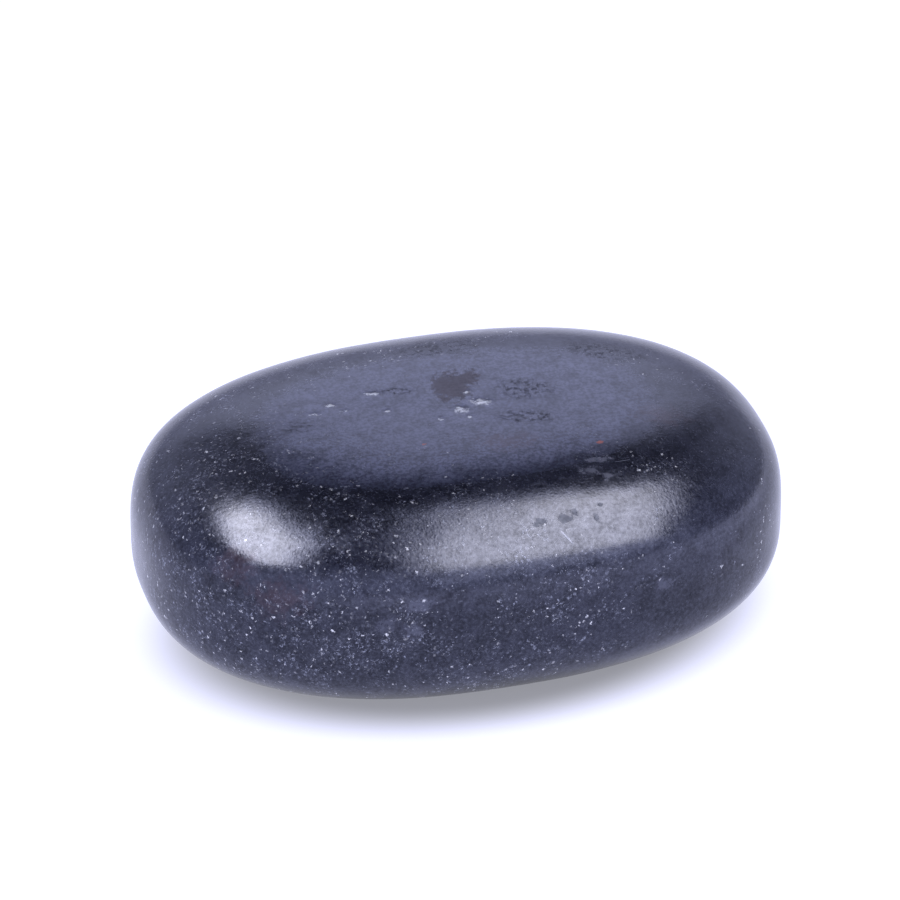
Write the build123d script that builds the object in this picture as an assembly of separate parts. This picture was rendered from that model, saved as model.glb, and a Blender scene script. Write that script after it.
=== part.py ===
"""Basalt massage stone: one tumbled and polished pebble, oblong in plan, flat-topped, full-sided.

The frame is in millimetres: +X along the stone, +Z up, and the origin on the resting face,
under the middle of the stone.

Every level of the stone is the same superellipse, shrunk by how far that level is drawn in from
the girdle, the widest level. The drawing-in follows superellipses too: a fuller one above the
girdle than below it. Both ends of the loft are small level patches, too slight to feel. The
lower one is then worn away by a plane, and that leaves the flat on which the stone rests.
"""

import math
import os

from build123d import *

# Driving dimensions, mm
LENGTH = 80.0
WIDTH = 55.8
CROWN_HEIGHT = 15.5  # from the girdle up to the crown
KEEL_DEPTH = 13.6  # from the girdle down to where the underside would end if it weren't worn
WORN_DEPTH = 0.25  # how much of that the resting face has lost

# The level patch at each end of the loft, as a share of the stone's own length and width
PATCH_SHARE = 0.16

# How full each curve is: 2 is an ellipse, and a higher power is squarer
PLAN_POWER = 2.4
CROWN_POWER = 3.6
KEEL_POWER = 2.9

# How closely the curves are followed
OUTLINE_POINTS = 32
LEVELS_EACH_SIDE = 12


def unit_superellipse(angle, power):
    """The point of a superellipse of half-axes 1 that lies in this direction from its centre."""
    across, up = math.cos(angle), math.sin(angle)
    reach = (abs(across) ** power + abs(up) ** power) ** (-1.0 / power)
    return reach * across, reach * up


def outline(height, share):
    """The stone's closed outline at a height, with that share of the girdle's size."""
    points = []
    for step in range(OUTLINE_POINTS):
        along, across = unit_superellipse(2.0 * math.pi * step / OUTLINE_POINTS, PLAN_POWER)
        points.append((0.5 * LENGTH * share * along, 0.5 * WIDTH * share * across, height))
    return Wire([Edge.make_spline(points, periodic=True)])


def levels_past_girdle(extent, power):
    """(distance from the girdle, share) for each level of one side, out to its level patch."""
    last_distance = (1.0 - PATCH_SHARE**power) ** (1.0 / power)
    last_angle = math.atan2(last_distance, PATCH_SHARE)
    levels = []
    for step in range(1, LEVELS_EACH_SIDE + 1):
        share, distance = unit_superellipse(last_angle * step / LEVELS_EACH_SIDE, power)
        levels.append((extent * distance, share))
    return levels


def make_pebble():
    """The stone before its underside wore, lofted through its levels from the keel to the crown."""
    girdle_height = KEEL_DEPTH - WORN_DEPTH
    keel = levels_past_girdle(KEEL_DEPTH, KEEL_POWER)
    crown = levels_past_girdle(CROWN_HEIGHT, CROWN_POWER)
    levels = [(girdle_height - drop, share) for drop, share in reversed(keel)]
    levels.append((girdle_height, 1.0))
    levels += [(girdle_height + rise, share) for rise, share in crown]
    return Solid.make_loft([outline(height, share) for height, share in levels])


def make_stone():
    """The finished stone, its underside worn flat at height 0."""
    return split(make_pebble(), bisect_by=Plane.XY, keep=Keep.TOP)


def main():
    os.makedirs("parts", exist_ok=True)
    stone = make_stone()
    export_step(stone, "parts/stone.step")
    size = stone.bounding_box().size
    print(f"stone {size.X:.2f} x {size.Y:.2f} x {size.Z:.2f} mm, {stone.volume / 1000:.1f} cm3")
    flat = stone.faces().sort_by(Axis.Z)[0].bounding_box().size
    print(f"worn flat {flat.X:.2f} x {flat.Y:.2f} mm")


main()
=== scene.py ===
"""The looks of the basalt massage stone: its natural surface, its material, and the studio round it.

The CAD solid is the ideal pebble. The piece built here is the same pebble with the slight
unevenness, the pits and the marks of a real one, all cut inwards, so it stays inside the CAD box.
The marks' places and sizes are in millimetres, measured from the middle of the girdle, which is the
stone's widest level. Everything that reaches Blender is in metres.
"""

import math
from collections import namedtuple

import bpy
import numpy as np
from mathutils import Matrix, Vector, noise


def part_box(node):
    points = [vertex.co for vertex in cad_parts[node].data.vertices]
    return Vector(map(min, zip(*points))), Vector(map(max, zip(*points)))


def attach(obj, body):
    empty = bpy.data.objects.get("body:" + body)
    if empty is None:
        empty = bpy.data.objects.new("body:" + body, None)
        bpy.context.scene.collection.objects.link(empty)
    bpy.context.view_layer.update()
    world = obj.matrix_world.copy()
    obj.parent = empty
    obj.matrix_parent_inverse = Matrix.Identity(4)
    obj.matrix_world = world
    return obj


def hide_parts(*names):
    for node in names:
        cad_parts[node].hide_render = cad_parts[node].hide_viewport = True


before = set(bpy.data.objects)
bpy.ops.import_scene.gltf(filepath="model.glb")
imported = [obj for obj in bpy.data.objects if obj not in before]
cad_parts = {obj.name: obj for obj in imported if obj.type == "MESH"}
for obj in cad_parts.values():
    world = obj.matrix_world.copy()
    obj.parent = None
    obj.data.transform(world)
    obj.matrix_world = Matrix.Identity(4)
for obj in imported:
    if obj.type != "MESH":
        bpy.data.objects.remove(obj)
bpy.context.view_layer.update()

MM = 0.001

# The pebble's curves, as in the CAD: 2 is an ellipse, and a higher power is squarer
PLAN_POWER = 2.4
CROWN_POWER = 3.6
KEEL_POWER = 2.9
WORN_DEPTH = 0.25  # what the resting face has lost below the girdle's full keel
KEEL_DEPTH = 13.6

LOW, HIGH = (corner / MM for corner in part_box("stone"))
HALF_LENGTH = 0.5 * (HIGH.x - LOW.x)
HALF_WIDTH = 0.5 * (HIGH.y - LOW.y)
GIRDLE_HEIGHT = KEEL_DEPTH - WORN_DEPTH
CROWN_HEIGHT = HIGH.z - GIRDLE_HEIGHT

# How many faces the box that is blown up into the pebble has along X, Y and Z
LATTICE = (193, 135, 69)

# A noise over the stone: its height, the length of its waves in millimetres and its seed. The
# unevenness is in millimetres too, and the drifts are shares of how common the grains can be.
Wave = namedtuple("Wave", "height length seed")
UNEVENNESS = [Wave(0.070, 42.0, 1), Wave(0.022, 15.0, 2), Wave(0.006, 5.0, 3), Wave(0.0015, 2.0, 4)]
GRAIN_DRIFTS = [Wave(0.80, 22.0, 6), Wave(0.60, 6.0, 7)]

# The upward part of the normal where the crown's painted sheen starts and where it is full: a lighter
# bluish colour painted on the top, standing in for its reflection of the backdrop
PAINTED_SHEEN_START = 0.990
PAINTED_SHEEN_FULL = 0.998

# A mark: what kind, where, its half-sizes along and across, and how far it is turned from +X
Mark = namedtuple("Mark", "kind at size turn")
MARKS = [
    # on the crown
    Mark("stain", (0.9, 5.9, 15.5), (3.4, 4.2), -16),
    Mark("stain", (3.6, 7.6, 15.5), (2.2, 1.8), -16),
    Mark("flake", (3.5, 1.2, 15.5), (1.75, 0.95), -22),
    Mark("flake", (0.5, 0.1, 15.5), (1.05, 1.15), -30),
    Mark("flake", (2.3, 4.0, 15.5), (0.60, 0.45), -16),
    Mark("flake", (-2.4, -1.3, 15.5), (0.55, 0.45), -16),
    Mark("flake", (1.1, -1.8, 15.5), (0.55, 0.45), -16),
    Mark("flake", (-9.0, 6.8, 15.5), (1.60, 0.45), -14),
    Mark("flake", (-14.5, 5.6, 15.5), (0.90, 0.45), -16),
    Mark("flake", (-13.1, 3.7, 15.5), (0.70, 0.35), -16),
    Mark("flake", (-8.1, 2.2, 15.5), (0.50, 0.40), -16),
    Mark("flake", (-16.9, 4.2, 15.4), (1.10, 0.35), -16),
    Mark("ember", (14.8, -11.1, 15.1), (0.60, 0.50), 0),
    Mark("ember", (-5.9, -6.4, 15.5), (0.40, 0.35), 0),
    Mark("etch", (9.4, 2.9, 15.5), (5.0, 3.2), -16),
    Mark("etch", (7.8, -3.6, 15.5), (5.0, 2.2), -16),
    Mark("etch", (21.5, 10.3, 14.6), (7.0, 3.2), -25),
    Mark("etch", (-19.6, 2.2, 15.3), (2.6, 1.8), -10),
    Mark("etch", (-6.0, 6.6, 15.5), (3.6, 1.2), -14),
    Mark("etch", (2.0, 16.5, 14.6), (9.0, 3.6), 4),
    # on the front shoulder
    Mark("smudge", (11.7, -16.3, 14.6), (2.0, 1.5), 0),
    Mark("smudge", (13.8, -17.4, 14.2), (1.0, 1.2), 0),
    Mark("smudge", (13.5, -14.5, 14.8), (2.4, 0.7), 0),
    Mark("pit", (3.8, -23.0, 12.7), (1.0, 0.7), 10),
    Mark("pit", (6.9, -22.9, 12.7), (1.3, 0.75), 0),
    Mark("pit", (8.2, -22.3, 12.9), (0.5, 0.6), 0),
    Mark("pit", (11.7, -21.4, 13.0), (0.45, 0.4), 0),
    Mark("pit", (10.9, -23.4, 12.4), (0.35, 0.9), 10),
    # on the front, the left end and the crown's right end
    Mark("smudge", (-12.1, -26.9, 6.2), (2.2, 1.6), 0),
    Mark("smudge", (-12.7, -27.1, 2.6), (1.9, 1.4), 0),
    Mark("smudge", (-16.0, -26.5, 4.0), (1.5, 1.9), 0),
    Mark("smudge", (18.0, -25.0, 3.0), (2.0, 1.5), 0),
    Mark("rust", (-32.1, -17.1, 9.2), (4.0, 3.0), 0),
    Mark("rust", (-27.5, -21.5, 6.5), (4.5, 3.5), 0),
    Mark("rust", (24.0, -6.2, 14.6), (4.5, 3.0), -16),
    Mark("rust", (4.3, -8.3, 15.5), (5.0, 2.6), -16),
    # where the front view doesn't reach
    Mark("stain", (-17.0, 22.0, 8.0), (3.0, 2.2), 0),
    Mark("pit", (12.0, 26.0, 5.0), (0.9, 0.7), 0),
    Mark("pit", (14.0, 25.6, 6.0), (0.5, 0.5), 0),
    Mark("smudge", (-4.0, 27.0, 2.0), (3.2, 2.2), 0),
    Mark("smudge", (37.0, 8.0, 3.0), (2.6, 2.0), 0),
    Mark("flake", (26.0, 19.0, 8.0), (0.9, 0.6), 20),
    Mark("rust", (30.0, 17.0, -4.0), (4.0, 3.0), 0),
    Mark("etch", (-5.0, 4.0, -13.0), (9.0, 6.0), 0),
]
KINDS = ("stain", "flake", "etch", "smudge", "pit", "rust", "ember")

# How deep the worst of each kind is cut, how far in from its edge, and how steep its sides are
CUT = {"stain": 0.015, "flake": 0.06, "pit": 0.045}
CUT_FULL_AT = 0.625
CUT_STEEPNESS = 0.7

# Hair-fine marks: both ends and the half-width
Scratch = namedtuple("Scratch", "start end width")
SCRATCHES = [
    Scratch((6.0, -24.1, 11.9), (7.2, -25.4, 10.6), 0.09),
    Scratch((-30.4, -16.3, 11.2), (-28.5, -17.5, 11.5), 0.07),
    Scratch((15.5, -15.2, 14.6), (17.3, -14.9, 14.4), 0.05),
    Scratch((-6.0, 27.4, 5.0), (-1.5, 27.6, 3.2), 0.08),
    Scratch((38.5, 3.0, 6.0), (38.8, -1.5, 5.0), 0.07),
]
SCRATCH_STRENGTH = 0.6

# A noise in the rock: bumps per millimetre, detail, roughness, and a shift that sets it apart
Cloud = namedtuple("Cloud", "per_mm detail roughness shift")
FINE = Cloud(2.2, 3.0, 0.65, 0.0)
MEDIUM = Cloud(0.45, 3.0, 0.60, 11.0)
BROAD = Cloud(0.07, 3.0, 0.55, 23.0)
DUST = Cloud(3.4, 1.0, 0.50, 41.0)
CLUMPS = Cloud(0.32, 4.0, 0.70, 53.0)
ETCHING = Cloud(1.3, 5.0, 0.72, 31.0)
CROOKED = Cloud(2.6, 3.0, 0.70, 7.0)
CROOKEDNESS = 1.1  # millimetres

# Mineral grains: how many per millimetre, how readily they show where they are common, their usual
# radius as a share of their spacing, and how few of them are at their palest
Grains = namedtuple("Grains", "per_mm shown radius rarity")
COARSE_GRAINS = Grains(1.9, 0.70, 0.28, 2.9)
FINE_GRAINS = Grains(3.2, 1.20, 0.46, 1.4)

# The rock's own colours, linear, and the crown's painted sheen
DEEPEST = (0.002, 0.002, 0.005, 1.0)
DARK_MATRIX = (0.0035, 0.0040, 0.0090, 1.0)
LIGHT_MATRIX = (0.0095, 0.0105, 0.0200, 1.0)
FINE_MINERAL = (0.019, 0.022, 0.034, 1.0)
PALE_DUST = (0.050, 0.054, 0.072, 1.0)
FINE_GRAIN = (0.27, 0.285, 0.34, 1.0)
COARSE_GRAIN = (0.90, 0.90, 0.90, 1.0)
# A painted sheen, not the rock's own colour: the lighter bluish tone painted where the crown faces
# straight up
CROWN_PAINTED_SHEEN = (0.078, 0.085, 0.140, 1.0)
SCRATCHED = (0.45, 0.47, 0.55, 1.0)

# How each kind of mark is painted, in this order: the values of its field where it starts and is
# full, how ragged its outline is and at how many bumps per millimetre, its strength and colour
Patch = namedtuple("Patch", "low high ragged per_mm strength colour")
PATCHES = {
    "rust": Patch(0.0, 0.9, 2.8, 0.9, 0.5, (0.042, 0.017, 0.020, 1.0)),
    "smudge": Patch(0.05, 0.9, 2.6, 0.9, 0.45, (0.095, 0.100, 0.135, 1.0)),
    "stain": Patch(0.14, 0.40, 2.6, 0.8, 0.85, (0.030, 0.024, 0.029, 1.0)),
    "pit": Patch(0.05, 0.50, 2.4, 1.5, 0.9, (0.020, 0.024, 0.036, 1.0)),
    "flake": Patch(0.15, 0.75, 2.8, 1.8, 1.0, (0.80, 0.82, 0.84, 1.0)),
    "ember": Patch(0.15, 0.45, 1.5, 2.0, 1.0, (0.30, 0.07, 0.04, 1.0)),
}

# The noise of those ragged outlines, but for its scale, which each patch sets
RAGGED = Cloud(None, 5.0, 0.72, 5.0)

# The roughness of the best places and of the worst, and what each ingredient adds
BEST_ROUGHNESS = 0.06
WORST_ROUGHNESS = 0.75
DULL = {
    "medium": 0.10,
    "fine": 0.16,
    "crown": 0.02,
    "etched": 0.18,
    "stain": 0.24,
    "pit": 0.22,
    "smudge": 0.35,
    "flake": 0.15,
}

# The grain that fingers hardly feel: its depth in metres, and what each ingredient adds
BUMP_DEPTH = 0.020 * MM
RELIEF = {"dust": 0.45, "fine": 0.6, "coarse": -0.25, "pit": -0.5}

# How well each place took the polish: the limits, the start, and what each ingredient adds
LEAST_POLISH = 0.15
MOST_POLISH = 0.95
POLISH_START = -0.15
POLISH = {"medium": 0.5, "fine": 0.8, "etched": -0.22, "stain": -0.10, "pit": -0.13}
MIRROR_IOR = 1.5
MIRROR_TINT = (0.79, 0.82, 1.0, 1.0)

# The camera, and how it is aimed: degrees, metres and millimetres
CAMERA_AZIMUTH = -15.66
CAMERA_ELEVATION = 32.0
CAMERA_DISTANCE = 0.8
CAMERA_LENS = 261.0
AIM_UP = 8.4
AIM_LEFT = 0.83

# The softboxes' height in metres, and half the width of their soft rims as a share of it
SOFTBOX_HEIGHT = 1.1
SOFT_EDGE = 0.11

# A level panel of light over the stone: its corners, as (towards camera, right) shares of its
# height, and its strengths for reflections and for matte surfaces
Softbox = namedtuple("Softbox", "name corners mirrored lit")
SOFTBOXES = [
    Softbox(
        "left_softbox",
        [(-0.66, -0.38), (-0.54, -0.64), (0.05, -0.90), (0.80, -0.84), (0.70, -0.54), (0.05, -0.26)],
        17.5,
        1.1,
    ),
    Softbox(
        "right_softbox",
        [
            (-0.50, 0.11),
            (0.40, 0.16),
            (1.40, 0.44),
            (4.60, 1.40),
            (2.60, 5.00),
            (1.05, 1.90),
            (0.30, 1.10),
            (-0.45, 0.48),
        ],
        11.3,
        0.8,
    ),
]
PANEL_RIM = (0.80, 0.86, 1.25, 1.0)
PANEL_MIDDLE = (1.0, 0.985, 1.02, 1.0)

# How far ahead, as a share of the height, a panel is at full strength and at its far end's share
PANEL_FULL_TO = 0.8
PANEL_FADED_FROM = 1.9
PANEL_FADED_SHARE = 0.3

# The floor, in metres, and its glow: a painted shadow makes it least under the stone, inside an ellipse
# given as shares of the stone's half-sizes, and a painted pool of light makes it most in front to the
# right
FLOOR_HALF_SIZE = 12.0
FLOOR_ALBEDO = (0.25, 0.25, 0.25, 1.0)
FLOOR_GLOW = (1.0, 1.03, 1.38, 1.0)
SHADED_GLOW = (1.0, 1.0, 1.0, 1.0)
SHADE_INNER = 0.74
SHADE_OUTER = 1.06
SHADE_SHARE = 0.28
BRIGHT_FROM = 0.05
BRIGHT_FULL = 0.11
GLOW_NEAR = 0.95
GLOW_BRIGHT = 1.75

# The white backdrop's edges. A direction is inside an edge while this sum of its parts behind the
# stone, upwards and to the right is below 0, and the edge is blurred by so much.
Edge = namedtuple("Edge", "behind rise aside blur")
BACKDROP_EDGES = {
    "top": Edge(-0.76, 1.0, 0.0, 0.02),
    "right": Edge(-0.42, 0.30, 1.0, 0.08),
    "left": Edge(-0.95, 1.25, -1.0, 0.05),
}

# The light that comes from each part of the surroundings
PAPER_LOW = (0.58, 0.61, 0.92, 1.0)
PAPER_HIGH = (1.78, 1.88, 2.58, 1.0)
SIDES_LOW = (0.58, 0.61, 0.88, 1.0)
SIDES_HIGH = (0.72, 0.76, 1.08, 1.0)
FRONT_LOW = (1.40, 1.48, 2.05, 1.0)
FRONT_HIGH = (1.50, 1.58, 2.20, 1.0)
DARK_ROOM = (0.03, 0.032, 0.05, 1.0)
HORIZON = (1.02, 1.05, 1.40, 1.0)


# ---------------------------------------------------------------- the pebble's shape


def box_lattice(counts):
    """Points on the faces of a box from -1 to 1, and the quads between them, facing outwards."""
    shape = [count + 1 for count in counts]
    skin = np.zeros(shape, bool)
    for axis in range(3):
        ends = [slice(None)] * 3
        ends[axis] = [0, -1]
        skin[tuple(ends)] = True
    index = np.cumsum(skin).reshape(shape) - 1
    points = np.argwhere(skin) / np.array(counts) * 2.0 - 1.0
    quads = []
    for axis in range(3):
        for end in (0, -1):
            side = np.take(index, end, axis)
            quad = np.stack([side[:-1, :-1], side[1:, :-1], side[1:, 1:], side[:-1, 1:]], -1)
            quad = quad.reshape(-1, 4)
            faces_inwards = (end == 0) != (axis == 1)
            quads.append(quad[:, ::-1] if faces_inwards else quad)
    return points, np.concatenate(quads)


def pebble(directions):
    """Where these directions meet the ideal pebble, and its outward normals there."""
    upper = directions[:, 2] >= 0.0
    power = np.where(upper, CROWN_POWER, KEEL_POWER)
    height = np.where(upper, CROWN_HEIGHT, KEEL_DEPTH)
    halves = np.stack([np.full(len(power), HALF_LENGTH), np.full(len(power), HALF_WIDTH), height], 1)
    size = np.abs(directions)
    plan = size[:, 0] ** PLAN_POWER + size[:, 1] ** PLAN_POWER
    reach = (plan ** (power / PLAN_POWER) + size[:, 2] ** power) ** (-1.0 / power)
    unit = directions * reach[:, None]
    plan = plan * reach**PLAN_POWER
    above_zero = 1e-9
    slope = np.sign(unit) * np.abs(unit) ** (PLAN_POWER - 1.0)
    slope *= (np.maximum(plan, above_zero) ** (power / PLAN_POWER - 1.0))[:, None]
    slope[:, 2] = np.sign(unit[:, 2]) * np.abs(unit[:, 2]) ** (power - 1.0)
    slope /= halves
    normals = slope / np.linalg.norm(slope, axis=1, keepdims=True)
    return unit * halves, normals


def on_pebble(at):
    """The point of the pebble in the direction of a rough place, and the normal there."""
    direction = np.array([at[0] / HALF_LENGTH, at[1] / HALF_WIDTH, 0.0])
    direction[2] = at[2] / (CROWN_HEIGHT if at[2] >= 0.0 else KEEL_DEPTH)
    points, normals = pebble(direction[None, :])
    return points[0], normals[0]


def mark_depth(points, mark):
    """1 in the middle of a mark, 0 at its edge and below 0 outside, down to -1."""
    centre, normal = on_pebble(mark.at)
    faces_along_x = abs(normal[0]) > 0.8
    level = np.array([0.0, 1.0, 0.0]) if faces_along_x else np.array([1.0, 0.0, 0.0])
    along = level - normal * (level @ normal)
    along /= np.linalg.norm(along)
    across = np.cross(normal, along)
    turn = math.radians(mark.turn)
    first = math.cos(turn) * along + math.sin(turn) * across
    second = np.cross(normal, first)
    away = points - centre
    shares = [away @ first / mark.size[0], away @ second / mark.size[1], away @ normal / max(mark.size)]
    return np.clip(1.0 - np.linalg.norm(np.stack(shares, 1), axis=1), -1.0, 1.0)


def mark_fields(points):
    """For each kind of mark, how deep inside one of them each point lies, from -1 to 1."""
    fields = {kind: np.full(len(points), -1.0) for kind in KINDS}
    for mark in MARKS:
        fields[mark.kind] = np.maximum(fields[mark.kind], mark_depth(points, mark))
    return fields


def ripples(points, waves):
    """A sum of smooth noises over points, each from about minus its height to its height."""
    total = np.zeros(len(points))
    for wave in waves:
        offset = Vector((wave.seed * 17.3, wave.seed * 5.1, wave.seed * 9.7))
        scale = 2.0 / wave.length
        total += wave.height * np.array([noise.noise(Vector(point) * scale + offset) for point in points])
    return total


def lost_depth(points, fields):
    """How far each point of the natural surface lies below the ideal one, never less than 0."""
    height = ripples(points, UNEVENNESS)
    depth = height.max() - height
    for kind, deepest in CUT.items():
        depth += deepest * np.clip(fields[kind] / CUT_FULL_AT, 0.0, 1.0) ** CUT_STEEPNESS
    return depth


def grain_abundance(points, normals, crown):
    """How common pale grains are: most towards -X and on upright sides, and in drifts."""
    abundance = 0.54 - 0.42 * points[:, 0] / HALF_LENGTH
    abundance -= 0.32 * np.abs(normals[:, 2]) + 0.32 * crown
    return np.clip(abundance + ripples(points, GRAIN_DRIFTS), 0.0, 1.0)


def add_layer(mesh, name, values):
    """Store one value per point, for the material to read."""
    layer = mesh.attributes.new(name, "FLOAT", "POINT")
    layer.data.foreach_set("value", values.astype(np.float32))


def make_stone():
    """The visible stone, with the values that its material reads."""
    directions, quads = box_lattice(LATTICE)
    points, normals = pebble(directions)
    fields = mark_fields(points)
    shaped = points - normals * lost_depth(points, fields)[:, None]
    shaped[:, 2] = np.maximum(shaped[:, 2] + GIRDLE_HEIGHT, 0.0)
    shaped[:, 0] += 0.5 * (LOW.x + HIGH.x)
    shaped[:, 1] += 0.5 * (LOW.y + HIGH.y)

    mesh = bpy.data.meshes.new("polished_stone")
    mesh.from_pydata((shaped * MM).tolist(), [], quads.tolist())
    mesh.shade_smooth()
    for kind, values in fields.items():
        add_layer(mesh, kind, values)
    # How fully each point faces straight up: where the crown's painted sheen goes, and where its
    # roughness and grains change
    crown = np.clip((normals[:, 2] - PAINTED_SHEEN_START) / (PAINTED_SHEEN_FULL - PAINTED_SHEEN_START), 0.0, 1.0)
    add_layer(mesh, "crown", crown)
    add_layer(mesh, "grains", grain_abundance(points, normals, crown))
    stone = bpy.data.objects.new("polished_stone", mesh)
    bpy.context.scene.collection.objects.link(stone)
    return stone


# ---------------------------------------------------------------- node trees


class Graph:
    """A node tree, with short ways to add the few kinds of node that this script uses."""

    def __init__(self, tree):
        self.tree = tree
        tree.nodes.clear()

    def node(self, kind, values=(), **settings):
        made = self.tree.nodes.new(kind)
        for name, value in settings.items():
            setattr(made, name, value)
        for socket, value in dict(values).items():
            if isinstance(value, bpy.types.NodeSocket):
                self.tree.links.new(value, made.inputs[socket])
            else:
                made.inputs[socket].default_value = value
        return made

    def math(self, operation, *values, clamp=False):
        made = self.node("ShaderNodeMath", enumerate(values), operation=operation, use_clamp=clamp)
        return made.outputs[0]

    def product(self, first, *others):
        for other in others:
            first = self.math("MULTIPLY", first, other)
        return first

    def weighted_sum(self, start, weights, values):
        """start plus each weight times the value of the same name."""
        total = start
        for name, weight in weights.items():
            total = self.math("MULTIPLY_ADD", values[name], weight, total)
        return total

    def vector(self, operation, *values):
        made = self.node("ShaderNodeVectorMath", enumerate(values), operation=operation)
        return made.outputs["Value" if operation in ("LENGTH", "DOT_PRODUCT") else "Vector"]

    def scaled(self, vector, factor):
        made = self.node("ShaderNodeVectorMath", {0: vector, "Scale": factor}, operation="SCALE")
        return made.outputs[0]

    def step(self, value, low, high, start=0.0, end=1.0):
        """start below low, end above high, and a smooth way between."""
        values = {"Value": value, "From Min": low, "From Max": high, "To Min": start, "To Max": end}
        made = self.node("ShaderNodeMapRange", values, interpolation_type="SMOOTHSTEP")
        return made.outputs["Result"]

    def mix(self, share, first, second):
        """A blend of two colours."""
        values = {"Factor": share, 6: first, 7: second}
        return self.node("ShaderNodeMix", values, data_type="RGBA").outputs[2]

    def field(self, name):
        """The values that the mesh holds under this name."""
        return self.node("ShaderNodeAttribute", attribute_name=name).outputs["Fac"]

    def cloud(self, place, cloud, output="Fac"):
        """A noise from 0 to 1 at a place in millimetres."""
        at = self.vector("ADD", place, (cloud.shift, cloud.shift * 0.7, -cloud.shift))
        values = {"Vector": at, "Scale": cloud.per_mm}
        values.update({"Detail": cloud.detail, "Roughness": cloud.roughness})
        return self.node("ShaderNodeTexNoise", values).outputs[output]


# ---------------------------------------------------------------- the basalt


def matrix(g, place, found):
    """The dark ground of the rock, cloudy at three scales, with a salt-and-pepper grain."""
    shade = g.product(g.math("ADD", g.cloud(place, BROAD), found["medium"]), 0.5)
    body = g.mix(g.step(shade, 0.42, 0.58), DARK_MATRIX, LIGHT_MATRIX)
    body = g.mix(g.step(found["fine"], 0.48, 0.70, 0.0, 0.7), body, FINE_MINERAL)
    body = g.mix(g.step(found["dust"], 0.54, 0.74, 0.0, 0.40), body, PALE_DUST)
    return g.mix(g.step(found["dust"], 0.46, 0.28, 0.0, 0.6), body, DEEPEST)


def grain_share(g, crooked, kind):
    """How strongly a pale grain shows: one may sit in each cell, and each has its own size."""
    cell = g.node("ShaderNodeTexVoronoi", {"Vector": crooked, "Scale": kind.per_mm})
    dice = g.node("ShaderNodeSeparateColor", {"Color": cell.outputs["Color"]}).outputs
    present = g.math("LESS_THAN", dice[0], g.product(g.field("grains"), kind.shown))
    radius = g.math("MULTIPLY_ADD", dice[1], kind.radius, kind.radius * 0.4)
    inside = g.step(g.math("DIVIDE", cell.outputs["Distance"], radius), 1.2, 0.4)
    return g.product(present, inside, g.math("POWER", dice[2], kind.rarity))


def add_grains(g, place, found):
    """Find both sizes of pale grain, the finer one gathered in clumps."""
    noise_colour = g.cloud(place, CROOKED, "Color")
    jitter = g.scaled(g.vector("SUBTRACT", noise_colour, (0.5, 0.5, 0.5)), CROOKEDNESS)
    crooked = g.vector("ADD", place, jitter)
    clumps = g.step(g.cloud(place, CLUMPS), 0.44, 0.60, 0.12, 1.0)
    found["coarse"] = grain_share(g, crooked, COARSE_GRAINS)
    found["small"] = g.product(grain_share(g, crooked, FINE_GRAINS), clumps)


def add_marks(g, place, found):
    """Find each kind of mark, its ragged outline made from its field and some noise."""
    for kind, patch in PATCHES.items():
        outline = g.cloud(place, RAGGED._replace(per_mm=patch.per_mm))
        edge = g.product(g.math("SUBTRACT", outline, 0.5), patch.ragged)
        whole = g.step(g.math("ADD", g.field(kind), edge), patch.low, patch.high)
        found[kind] = g.product(whole, patch.strength)
    found["flake"] = g.product(found["flake"], g.step(found["fine"], 0.35, 0.60, 0.45, 0.95))


def find_ingredients(g, place):
    """What the rock is made of at each place, each from 0 to 1, by name."""
    found = {"fine": g.cloud(place, FINE), "medium": g.cloud(place, MEDIUM)}
    found["dust"] = g.cloud(place, DUST)
    found["crown"] = g.field("crown")
    flecks = g.step(g.cloud(place, ETCHING), 0.48, 0.57)
    found["etched"] = g.product(flecks, g.step(g.field("etch"), 0.0, 0.6))
    add_grains(g, place, found)
    add_marks(g, place, found)
    return found


def painted_sheen_share(g, found):
    """The crown's painted sheen, a lighter bluish colour standing in for reflected light, mottled and
    broken by etched flecks.
    """
    unbroken = g.math("SUBTRACT", 1.0, g.product(found["etched"], 0.9))
    fine_mottle = g.step(found["fine"], 0.40, 0.60, 0.45, 1.0)
    medium_mottle = g.step(found["medium"], 0.36, 0.56, 0.60, 1.0)
    return g.product(found["crown"], unbroken, fine_mottle, medium_mottle)


def scratch_share(g, place, scratch):
    """1 on a scratch, falling to 0 at about its half-width."""
    ends = (scratch.start, scratch.end)
    start, end = (Vector(on_pebble(at)[0]) + Vector((0, 0, GIRDLE_HEIGHT)) for at in ends)
    run = end - start
    away = g.vector("SUBTRACT", place, tuple(start))
    share = g.math("DIVIDE", g.vector("DOT_PRODUCT", away, tuple(run)), run.length_squared, clamp=True)
    distance = g.vector("LENGTH", g.vector("SUBTRACT", away, g.scaled(tuple(run), share)))
    return g.step(distance, scratch.width * 1.4, scratch.width * 0.4)


def rock_colour(g, place, found):
    """The matrix, and over it the grains, the painted sheen on the crown, the marks and the scratches."""
    body = matrix(g, place, found)
    body = g.mix(found["small"], body, FINE_GRAIN)
    body = g.mix(found["coarse"], body, COARSE_GRAIN)
    # Painted sheen: a lighter bluish colour on the upward-facing crown
    body = g.mix(painted_sheen_share(g, found), body, CROWN_PAINTED_SHEEN)
    for kind, patch in PATCHES.items():
        body = g.mix(found[kind], body, patch.colour)
    for scratch in SCRATCHES:
        share = g.product(scratch_share(g, place, scratch), SCRATCH_STRENGTH)
        body = g.mix(share, body, SCRATCHED)
    return body


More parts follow.
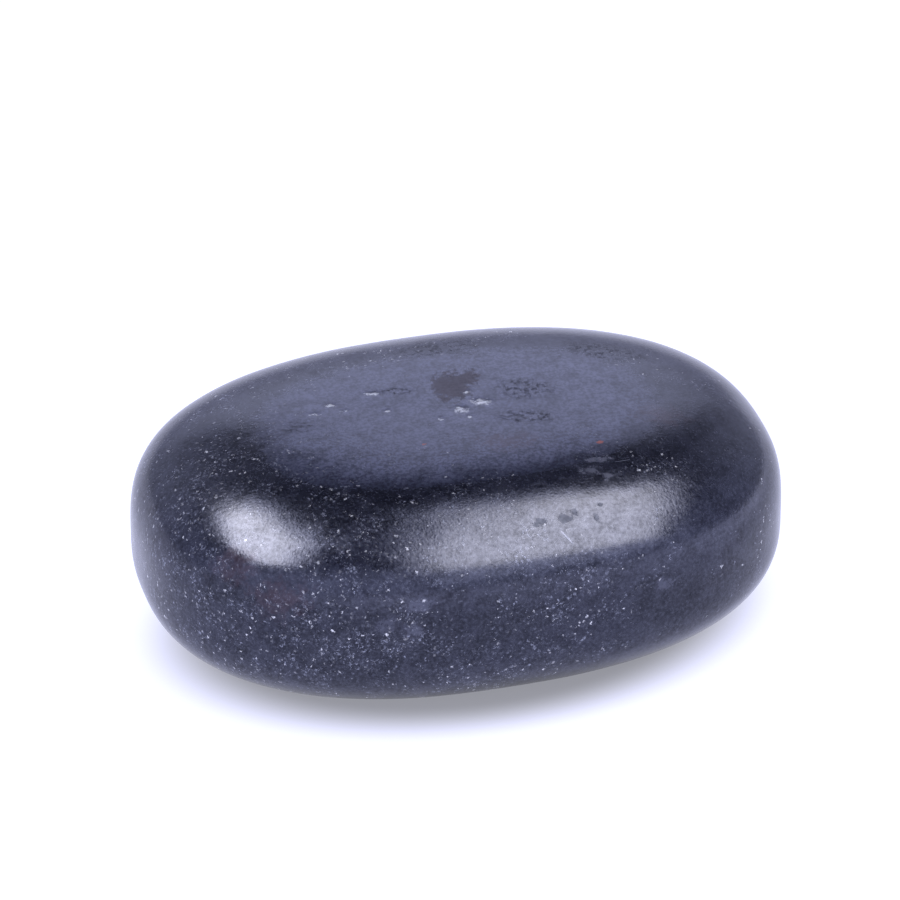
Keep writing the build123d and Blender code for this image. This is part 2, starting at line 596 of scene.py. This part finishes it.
def make_basalt():
    """Polished basalt, its colour, roughness, polish and relief all from the same ingredients."""
    material = bpy.data.materials.new("polished_basalt")
    material.use_nodes = True
    g = Graph(material.node_tree)
    place = g.scaled(g.node("ShaderNodeTexCoord").outputs["Object"], 1.0 / MM)
    found = find_ingredients(g, place)
    dull = g.math("MINIMUM", g.weighted_sum(BEST_ROUGHNESS, DULL, found), WORST_ROUGHNESS)
    polish = g.math("MAXIMUM", g.weighted_sum(POLISH_START, POLISH, found), LEAST_POLISH)
    relief = g.weighted_sum(0.0, RELIEF, found)
    bump = g.node("ShaderNodeBump", {"Height": relief, "Strength": 1.0, "Distance": BUMP_DEPTH})
    values = {
        "Base Color": rock_colour(g, place, found),
        "Roughness": dull,
        "IOR": MIRROR_IOR,
        "Specular IOR Level": g.math("MINIMUM", polish, MOST_POLISH),
        "Specular Tint": MIRROR_TINT,
        "Normal": bump.outputs["Normal"],
    }
    shader = g.node("ShaderNodeBsdfPrincipled", values)
    g.node("ShaderNodeOutputMaterial", {"Surface": shader.outputs["BSDF"]})
    return material


# ---------------------------------------------------------------- the studio


def stage_axes():
    """The level directions towards the camera and to its right."""
    turn = math.radians(CAMERA_AZIMUTH)
    near = Vector((math.sin(turn), -math.cos(turn), 0.0))
    right = Vector((math.cos(turn), math.sin(turn), 0.0))
    return near, right


def make_camera():
    """A long lens, aimed a little above the middle of the girdle."""
    near, right = stage_axes()
    rise = math.radians(CAMERA_ELEVATION)
    back = near * math.cos(rise) + Vector((0.0, 0.0, math.sin(rise)))
    girdle = Vector((0.0, 0.0, GIRDLE_HEIGHT * MM))
    camera = bpy.data.objects.new("camera", bpy.data.cameras.new("camera"))
    camera.data.lens = CAMERA_LENS
    camera.location = girdle + back * CAMERA_DISTANCE
    aim = girdle + back.cross(right) * AIM_UP * MM - right * AIM_LEFT * MM
    camera.rotation_mode = "QUATERNION"
    camera.rotation_quaternion = (aim - camera.location).to_track_quat("-Z", "Y")
    bpy.context.scene.collection.objects.link(camera)
    bpy.context.scene.camera = camera


def glowing(name, strength):
    """Light that fades and turns bluer towards the panel's rim and along its far end."""
    material = bpy.data.materials.new(name)
    material.use_nodes = True
    g = Graph(material.node_tree)
    local = g.node("ShaderNodeTexCoord").outputs["Object"]
    ahead = g.vector("DOT_PRODUCT", local, tuple(stage_axes()[0] / SOFTBOX_HEIGHT))
    lengthways = g.step(ahead, PANEL_FADED_FROM, PANEL_FULL_TO, PANEL_FADED_SHARE, 1.0)
    fade = g.product(g.step(g.field("glow"), 0.0, 1.0), lengthways)
    tint = g.mix(g.step(fade, 0.0, 0.8), PANEL_RIM, PANEL_MIDDLE)
    glow = g.node("ShaderNodeEmission", {"Color": tint, "Strength": g.product(fade, strength)})
    g.node("ShaderNodeOutputMaterial", {"Surface": glow.outputs[0]})
    return material


def inset(corners, distance):
    """An outline moved inwards, or outwards for a negative distance."""
    moved = []
    for index, corner in enumerate(corners):
        following = corners[(index + 1) % len(corners)]
        arriving = (corner - corners[index - 1]).orthogonal().normalized()
        leaving = (following - corner).orthogonal().normalized()
        moved.append(corner + (arriving + leaving) * distance / (1.0 + arriving.dot(leaving)))
    return moved


def panel_mesh(name, corners):
    """A softbox's level mesh: its middle, with a glow of 1, and a rim that falls to 0."""
    near, right = stage_axes()
    up = Vector((0, 0, 1))
    corners = [Vector(corner) for corner in corners]
    count = len(corners)
    outline = inset(corners, -SOFT_EDGE) + inset(corners, SOFT_EDGE)
    points = [(near * ahead + right * aside + up) * SOFTBOX_HEIGHT for ahead, aside in outline]
    faces = [tuple(range(count, 2 * count))]
    for index in range(count):
        following = (index + 1) % count
        faces.append((index, following, count + following, count + index))
    mesh = bpy.data.meshes.new(name)
    mesh.from_pydata(points, [], faces)
    add_layer(mesh, "glow", np.repeat([0.0, 1.0], count))
    return mesh


def make_softbox(softbox):
    """Two panels in one place: reflections see the first, and matte surfaces the dimmer second."""
    for use, strength in (("mirrored", softbox.mirrored), ("lit", softbox.lit)):
        name = f"{softbox.name}_{use}"
        mesh = panel_mesh(name, softbox.corners)
        mesh.materials.append(glowing(name, strength))
        panel = bpy.data.objects.new(name, mesh)
        panel.visible_camera = False
        panel.visible_diffuse = use == "lit"
        panel.visible_glossy = use == "mirrored"
        bpy.context.scene.collection.objects.link(panel)


def make_floor_material():
    """Pale and glowing, with a painted shadow that dims the glow under the stone and a painted pool of
    light that raises it in front to the right.
    """
    material = bpy.data.materials.new("pale_floor")
    material.use_nodes = True
    g = Graph(material.node_tree)
    local = g.node("ShaderNodeTexCoord").outputs["Object"]
    share = g.vector("MULTIPLY", local, (1.0 / (HALF_LENGTH * MM), 1.0 / (HALF_WIDTH * MM), 0.0))
    # Painted shadow: the glow falls to SHADE_SHARE inside the ellipse under the stone
    outside_painted_shadow = g.step(g.vector("LENGTH", share), SHADE_INNER, SHADE_OUTER, SHADE_SHARE, 1.0)
    near, right = stage_axes()
    outwards = g.vector("DOT_PRODUCT", local, tuple((near + right).normalized()))
    # Painted pool of light: the glow rises in front to the right
    painted_pool_brightness = g.step(outwards, BRIGHT_FROM, BRIGHT_FULL, GLOW_NEAR, GLOW_BRIGHT)
    values = {
        "Base Color": FLOOR_ALBEDO,
        "Roughness": 0.9,
        "Specular IOR Level": 0.0,
        "Emission Color": g.mix(outside_painted_shadow, SHADED_GLOW, FLOOR_GLOW),
        "Emission Strength": g.product(outside_painted_shadow, painted_pool_brightness),
    }
    shader = g.node("ShaderNodeBsdfPrincipled", values)
    g.node("ShaderNodeOutputMaterial", {"Surface": shader.outputs["BSDF"]})
    return material


def make_floor():
    half = FLOOR_HALF_SIZE
    corners = [(-half, -half, 0), (half, -half, 0), (half, half, 0), (-half, half, 0)]
    mesh = bpy.data.meshes.new("floor")
    mesh.from_pydata(corners, [], [(0, 1, 2, 3)])
    mesh.materials.append(make_floor_material())
    floor = bpy.data.objects.new("floor", mesh)
    bpy.context.scene.collection.objects.link(floor)


def backdrop_share(g, way):
    """1 towards the white backdrop behind the stone, and 0 past its edges."""
    near, right = stage_axes()
    up = Vector((0.0, 0.0, 1.0))
    share = 1.0
    for edge in BACKDROP_EDGES.values():
        across = up * edge.rise + right * edge.aside - near * edge.behind
        inside = g.step(g.vector("DOT_PRODUCT", way, tuple(across)), edge.blur, -edge.blur)
        share = g.product(share, inside)
    return share


def room_light(g, way, rise):
    """A dark room behind and above, lit at the stone's sides and more so in front of it."""
    near, right = stage_axes()
    aside = g.vector("DOT_PRODUCT", way, tuple(right))
    beside = g.step(g.math("ABSOLUTE", aside), 0.12, 0.52)
    in_front = g.step(g.vector("DOT_PRODUCT", way, tuple(near)), 0.10, 0.50)
    lamplit = g.product(g.math("MAXIMUM", beside, in_front), g.step(rise, 0.90, 0.45))
    low = g.mix(in_front, SIDES_LOW, FRONT_LOW)
    high = g.mix(in_front, SIDES_HIGH, FRONT_HIGH)
    return g.mix(lamplit, DARK_ROOM, g.mix(g.step(rise, 0.05, 0.35), low, high))


def make_surroundings():
    """A white backdrop behind the stone, the room round it, and a pale horizon."""
    world = bpy.data.worlds.new("studio")
    bpy.context.scene.world = world
    world.use_nodes = True
    g = Graph(world.node_tree)
    way = g.node("ShaderNodeTexCoord").outputs["Generated"]
    rise = g.node("ShaderNodeSeparateXYZ", {"Vector": way}).outputs["Z"]
    paper = g.mix(g.step(rise, 0.10, 0.55), PAPER_LOW, PAPER_HIGH)
    light = g.mix(backdrop_share(g, way), room_light(g, way, rise), paper)
    light = g.mix(g.step(rise, 0.06, 0.03), light, HORIZON)
    sky = g.node("ShaderNodeBackground", {"Color": light, "Strength": 1.0})
    g.node("ShaderNodeOutputWorld", {"Surface": sky.outputs[0]})


def make_studio():
    for softbox in SOFTBOXES:
        make_softbox(softbox)
    make_floor()
    make_surroundings()
    bpy.context.scene.view_settings.view_transform = "Standard"


# ---------------------------------------------------------------- putting it together

make_camera()
make_studio()
stone = make_stone()
stone.data.materials.append(make_basalt())
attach(stone, "root")
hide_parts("stone")
